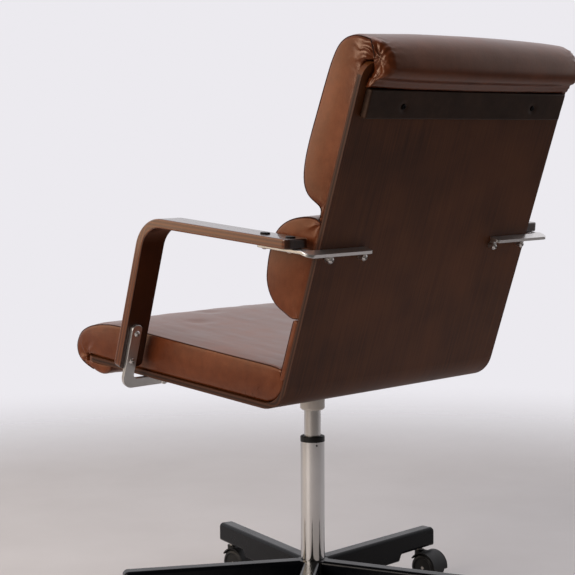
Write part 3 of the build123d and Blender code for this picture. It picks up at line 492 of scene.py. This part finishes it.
def swell(pad, rows, pressure, most):
    """Cloth simulation under pressure. Seams, ends and the face on the shell are held.

    No point moves further than most, in mm.
    """
    start = [v.co.copy() for v in pad.data.vertices]
    fixed = []
    for number in range(len(start)):
        row, k = divmod(number, LOOP)
        on_shell = COLUMNS + PANEL - 2 <= k <= 2 * COLUMNS + PANEL + 1
        if on_shell or k in (SEAM_LEFT, SEAM_RIGHT) or row in (0, rows - 1):
            fixed.append(number)
    pad.vertex_groups.new(name="held").add(fixed, 1.0, "REPLACE")
    cloth = pad.modifiers.new("leather", "CLOTH")
    cloth.settings.vertex_group_mass = "held"
    cloth.settings.bending_stiffness = STIFFNESS
    cloth.settings.use_pressure = True
    cloth.settings.uniform_pressure_force = pressure
    cloth.settings.effector_weights.gravity = 0
    cloth.point_cache.frame_start, cloth.point_cache.frame_end = 1, LAST_FRAME
    for number in range(1, LAST_FRAME + 1):
        bpy.context.scene.frame_set(number)
    bpy.context.view_layer.objects.active = pad
    bpy.ops.object.modifier_apply(modifier="leather")
    bpy.context.scene.frame_set(1)
    steps = [v.co - old for v, old in zip(pad.data.vertices, start)]
    for vertex, old, step in zip(pad.data.vertices, start, steps):
        vertex.co = old + step * (most * MM / (most * MM + step.length))
    print(pad.name, "swelled", round(max(step.length for step in steps) * 1000, 1), "mm before the cap")


def subdivide(piece, levels):
    """Smooth a piece by subdivision and apply it."""
    smooth = piece.modifiers.new("smooth", "SUBSURF")
    smooth.levels = smooth.render_levels = levels
    bpy.context.view_layer.objects.active = piece
    bpy.ops.object.modifier_apply(modifier="smooth")
    piece.data.polygons.foreach_set("use_smooth", [True] * len(piece.data.polygons))


# %% Pleats, wrinkles and dimples
def gather(pad, point, reach, depth, pleats):
    """Pull both sides of a pad into pleats that run to a point; reach and depth in mm."""
    reach, depth = reach * MM, depth * MM
    for vertex, normal in zip(pad.data.vertices, [v.normal.copy() for v in pad.data.vertices]):
        x, y, z = vertex.co
        gap = Vector((abs(x) - point[0], y - point[1], z - point[2]))
        fall = exp(-(gap.length / reach) ** 2)
        if fall > 0.01:
            # narrow ridges with broad hollows between, wavy, and out of step on the chair's two sides
            turn = atan2(gap.z, gap.y) + 0.35 * noise.noise(vertex.co / 0.012)
            fold = 0.35 - abs(sin(pleats * turn / 2 + (1.3 if x > 0 else 0.4)))
            vertex.co += normal * (depth * fall * fold)


def wrinkle(pad, depth, size):
    """Soft unevenness of hide over foam; size is (x, y, z) of one wrinkle and depth its height, in mm."""
    for vertex, normal in zip(pad.data.vertices, [v.normal.copy() for v in pad.data.vertices]):
        place = Vector([c / (s * MM) for c, s in zip(vertex.co, size)])
        vertex.co += normal * (depth * MM * (noise.noise(place) + 0.4 * noise.noise(place * 2.7)))


def dimple(piece, point, radius, depth):
    """Push a piece's surface in around a point; radius and depth in mm."""
    for vertex, normal in zip(piece.data.vertices, [v.normal.copy() for v in piece.data.vertices]):
        share = (vertex.co - Vector(point)).length / (radius * MM)
        if share < 1:
            vertex.co -= normal * (depth * MM * (1 - share ** 2) ** 2)


# %% Piping along the seams
def piping(name, pad, first, last, thick, end=None):
    """Thin rolled edge on both side seams, between two rows of sections; it tucks in at end, if given."""
    line = bpy.data.curves.new(name, "CURVE")
    line.dimensions, line.bevel_depth, line.bevel_resolution = "3D", thick * MM, 1
    line.use_fill_caps = True
    for seam, side in ((SEAM_LEFT, -1), (SEAM_RIGHT, 1)):
        places = [pad.data.vertices[row * LOOP + seam].co.copy() for row in range(first, last)]
        if end:
            places.append(Vector((side * end[0], end[1], end[2])))
        spline = line.splines.new("POLY")
        spline.points.add(len(places) - 1)
        for point, place in zip(spline.points, places):
            point.co = (*place, 1)
    roll = bpy.data.objects.new(name, line)
    bpy.context.scene.collection.objects.link(roll)
    bpy.ops.object.select_all(action="DESELECT")
    bpy.context.view_layer.objects.active = roll
    roll.select_set(True)
    bpy.ops.object.convert(target="MESH")
    roll = bpy.context.object
    roll.data.polygons.foreach_set("use_smooth", [True] * len(roll.data.polygons))
    # the piping's dark leather is painted shade in the groove where cover meets side panel
    roll.data.materials.append(seam_leather_painted_shade)
    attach(roll, "seat")
    print(name, len(roll.data.polygons), "faces")


# %% [markdown]
# ## Seat pad
# One thick pad fills the shell's bend, runs level to the front, rounds over the sheet's front edge and is
# pulled back underneath, where a batten clamps its tail. People have sat on it, so the cover has long
# faint wrinkles and two small dents. These could be a bump in the material, but dents this wide catch the
# light at a low angle, so they are pushed into the mesh.

# %% Seat pad
FACE = 9.4                                  # the pads' inner line, just clear of the 9 mm sheet
REAR = -0.4                                 # the same behind the sheet
EDGE = 474.8                                # the sheet's front edge, along the seat

SEAT_STATIONS = [
    (back(63, 21.5), back(47, FACE)), (seat(12, 67.5), bend(0.25, FACE)), (seat(27, 69), bend(0.55, FACE)),
    (seat(45, 69.3), bend(0.85, FACE)), (seat(71, 69.5), seat(60, FACE)),
    (seat(160, 70), seat(160, FACE)), (seat(256, 71), seat(256, FACE)), (seat(340, 72), seat(340, FACE)),
    (seat(400, 71.5), seat(400, FACE)), (seat(440, 67), seat(438, FACE)), (seat(469, 59), seat(458, FACE)),
    (seat(491, 47), seat(469, FACE)), (seat(502, 33), seat(EDGE, 8.5)), (seat(505.5, 20), seat(EDGE, 4.5)),
    (seat(501, 5), seat(EDGE, 1)), (seat(486, -6.5), seat(472, REAR)), (seat(457, -16), seat(455, REAR)),
    (seat(432, -19), seat(434, REAR)), (seat(415, -11), seat(419, REAR)),
    (seat(411.5, -2.4), seat(411.5, REAR)),
]
SEAT_WIDTHS = [247] + [248] * 8 + [247, 246, 245, 244, 244, 244, 244, 244, 243, 242, 242]
SEAT_SEAMS = [5] + [6] * 10 + [7, 8, 8, 8, 8, 7, 6, 5, 4]
seat_pad, seat_rows = pad_mesh("seat_pad_cover", SEAT_STATIONS, SEAT_WIDTHS, SEAT_SEAMS, 1.5, 7)
swell(seat_pad, seat_rows, 4.0, 7)
subdivide(seat_pad, 1)
piping("seat_pad_piping", seat_pad, 1, seat_rows - 8, 1.0)
wrinkle(seat_pad, 0.7, (28, 150, 60))
gather(seat_pad, (0.249, *seat(474, 4)), 24, 3.0, 5)
for x, along in ((0.038, 398), (0.12, 330)):
    dimple(seat_pad, (x, *seat(along, 74)), 30, 2.4)

# %% [markdown]
# ## Waist band and lumbar roll
# A thin band joins the seat to the lumbar roll. The roll is the fullest pad of the chair: its cover goes
# out from the shell, round a deep curve and back to the shell. A stretched cylinder could stand for it,
# but its ends are flat panels with a seam, so it is made of sections like the seat. Gathers at the foot of
# each end show where the upholsterer pulled the panel in.

# %% Waist band
WAIST_STATIONS = [(back(s, 21), back(s, FACE)) for s in (47, 60, 80, 100, 120, 136, 145)]
waist_band, waist_rows = pad_mesh("waist_band_cover", WAIST_STATIONS, [248] * 7, [4] * 7, 0.8, 7)
swell(waist_band, waist_rows, 2.0, 2)
subdivide(waist_band, 1)
piping("waist_band_piping", waist_band, 0, waist_rows, 1.0)

# %% Lumbar roll
LUMBAR_OUTER = [(149, 11), (143, 26), (146, 44), (150, 63), (160, 80), (179, 94), (206, 100), (230, 101),
                (255, 97.5), (273, 86), (287, 69), (297.5, 48), (303, 29), (302, 20)]
LUMBAR_INNER = [150, 156, 164, 173, 184, 196, 210, 226, 242, 256, 268, 279, 289, 297]
LUMBAR_STATIONS = [(back(*outer), back(inner, FACE)) for outer, inner in zip(LUMBAR_OUTER, LUMBAR_INNER)]
lumbar_pad, lumbar_rows = pad_mesh("lumbar_pad_cover", LUMBAR_STATIONS, [247] * 14, [6] * 14, 2.0, 7)
swell(lumbar_pad, lumbar_rows, 4.0, 8)
subdivide(lumbar_pad, 1)
piping("lumbar_pad_piping", lumbar_pad, 0, lumbar_rows, 1.0)
wrinkle(lumbar_pad, 0.4, (90, 60, 60))
gather(lumbar_pad, (0.244, *back(299, 12)), 26, 3.0, 7)
gather(lumbar_pad, (0.246, *back(146, 12)), 16, 1.6, 6)

# %% [markdown]
# ## Upper back pad
# It starts as a thin valley over the lumbar roll, thickens, goes over the top edge of the shell and comes
# down behind it as a fat roll that a batten clamps. Where it turns over the shell's rounded corners the
# leather has nowhere to go, so the seam ends there and the leather is gathered into pleats. Simulated
# pleats never land in the same place twice when a setting changes, so these are moved by a formula.

# %% Upper back pad
TOP_EDGE = 546.9                            # the sheet's top edge, up the back

UPPER_STATIONS = [
    (back(301, 20), back(301, FACE)), (back(316, 20), back(314, FACE)), (back(322, 27), back(321, FACE)),
    (back(324.5, 39), back(327, FACE)), (back(330, 55), back(336, FACE)), (back(344, 67.5), back(350, FACE)),
    (back(370, 74.5), back(372, FACE)), (back(405, 76), back(405, FACE)), (back(450, 74), back(450, FACE)),
    (back(495, 71.5), back(492, FACE)), (back(529, 68.5), back(522, FACE)), (back(554, 62), back(536, FACE)),
    (back(569, 50.5), back(543, FACE)), (back(577, 34), back(TOP_EDGE, 8)),
    (back(579, 16), back(TOP_EDGE, 5.5)), (back(578, 0), back(TOP_EDGE, 3)),
    (back(573, -13), back(TOP_EDGE, 0.5)), (back(562, -24), back(543, REAR)),
    (back(549, -31), back(538, REAR)), (back(538, -31), back(532, REAR)), (back(529, -25.5), back(526, REAR)),
    (back(525.5, -18), back(523, REAR)), (back(521, -14.5), back(519, REAR)),
    (back(514, -13), back(514, REAR)), (back(509.5, -6), back(509.5, REAR)),
]
UPPER_WIDTHS = [246] * 2 + [245] * 10 + [244.5, 243.5, 242, 239.5, 236.5, 234, 233, 233, 234.5,
                                         237, 238.5, 239.5, 239.5]
# the last station has no value of its own here: the slope gives it 1
UPPER_SEAMS = [5] * 3 + [6] * 9 + [7, 8, 9, 11, 13, 15, 15, 13, 9, 7, 5, 3]
GATHER_POINT = (0.246, *back(556, -12))
upper_pad, upper_rows = pad_mesh("upper_back_pad_cover", UPPER_STATIONS, UPPER_WIDTHS, UPPER_SEAMS, 6.5, 6)
swell(upper_pad, upper_rows, 4.0, 8)
subdivide(upper_pad, 1)
piping("upper_back_pad_piping", upper_pad, 0, upper_rows - 17, 1.0, GATHER_POINT)
wrinkle(upper_pad, 0.5, (90, 60, 60))
gather(upper_pad, GATHER_POINT, 30, 3.8, 11)
gather(upper_pad, (0.238, *back(526, -12)), 18, 1.5, 9)
gather(upper_pad, (0.244, *back(304, 14)), 26, 2.2, 7)

for pad, node, fill in ((seat_pad, "seat_pad", 0.8), (waist_band, "waist_band", 0.7),
                        (lumbar_pad, "lumbar_pad", 0.85), (upper_pad, "upper_back_pad", 0.85)):
    pad.data.materials.append(chestnut)
    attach(pad, "seat")
    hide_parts(node)
    print(pad.name, len(pad.data.polygons), "faces")

# %% [markdown]
# ## Battens
# Each batten is a flat bar wrapped in leather that is coloured darker than the pads: painted shade for the
# shell's rear face under the roll. Its two screws are driven home hard, so the leather dips round their
# heads. A grid gives enough points for the dips; it is extruded down to the shell and its rim is bevelled.


# %% Batten
def wrapped_batten(name, middle, along, out, width, thick):
    """Leather-wrapped bar: middle is a (Y, Z) point on the shell, along and out are its (Y, Z) directions."""
    bpy.ops.object.select_all(action="DESELECT")
    bpy.ops.mesh.primitive_grid_add(x_subdivisions=120, y_subdivisions=14, size=1)
    bar = bpy.context.object
    bar.name = bar.data.name = name
    bpy.ops.object.mode_set(mode="EDIT")
    bpy.ops.transform.resize(value=(0.470, width * MM, 1))
    bpy.ops.mesh.extrude_region_move(TRANSFORM_OT_translate={"value": (0, 0, -thick * MM)})
    bpy.ops.mesh.select_all(action="SELECT")
    bpy.ops.mesh.normals_make_consistent(inside=False)
    bpy.ops.object.mode_set(mode="OBJECT")
    rim = bar.modifiers.new("rim", "BEVEL")
    rim.width, rim.segments, rim.limit_method, rim.angle_limit = 2.4 * MM, 3, "ANGLE", radians(60)
    bpy.ops.object.modifier_apply(modifier="rim")
    # the bar is turned so that its top faces out, with its underside on the shell
    place = Matrix(((1, 0, 0, 0), (0, along.x, out.x, middle.x + out.x * thick * MM),
                    (0, along.y, out.y, middle.y + out.y * thick * MM), (0, 0, 0, 1)))
    bar.data.transform(place)
    if place.determinant() < 0:
        bar.data.flip_normals()
    bar.data.polygons.foreach_set("use_smooth", [True] * len(bar.data.polygons))
    bar.data.update()
    wrinkle(bar, 0.35, (40, 14, 14))
    # darker leather as painted shade: the bar lies on the shell's rear face under the roll
    bar.data.materials.append(batten_leather_painted_shade)
    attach(bar, "seat")
    print(name, len(bar.data.polygons), "faces")
    return bar


SCREW_X = 0.156
top_batten = wrapped_batten("top_batten_cover", back(487, -0.2), BACK_DIR, -BACK_FRONT, 43.6, 11.6)
for x in (-SCREW_X, SCREW_X):
    dimple(top_batten, (x, *back(484, -12)), 11, 2.6)
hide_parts("top_batten")
front_batten = wrapped_batten("front_batten_cover", seat(397.5, -0.2), SEAT_DIR, -SEAT_UP, 26.6, 5.6)
for x in (-SCREW_X, SCREW_X):
    dimple(front_batten, (x, *seat(397.5, -6)), 9, 1.6)
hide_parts("front_batten")
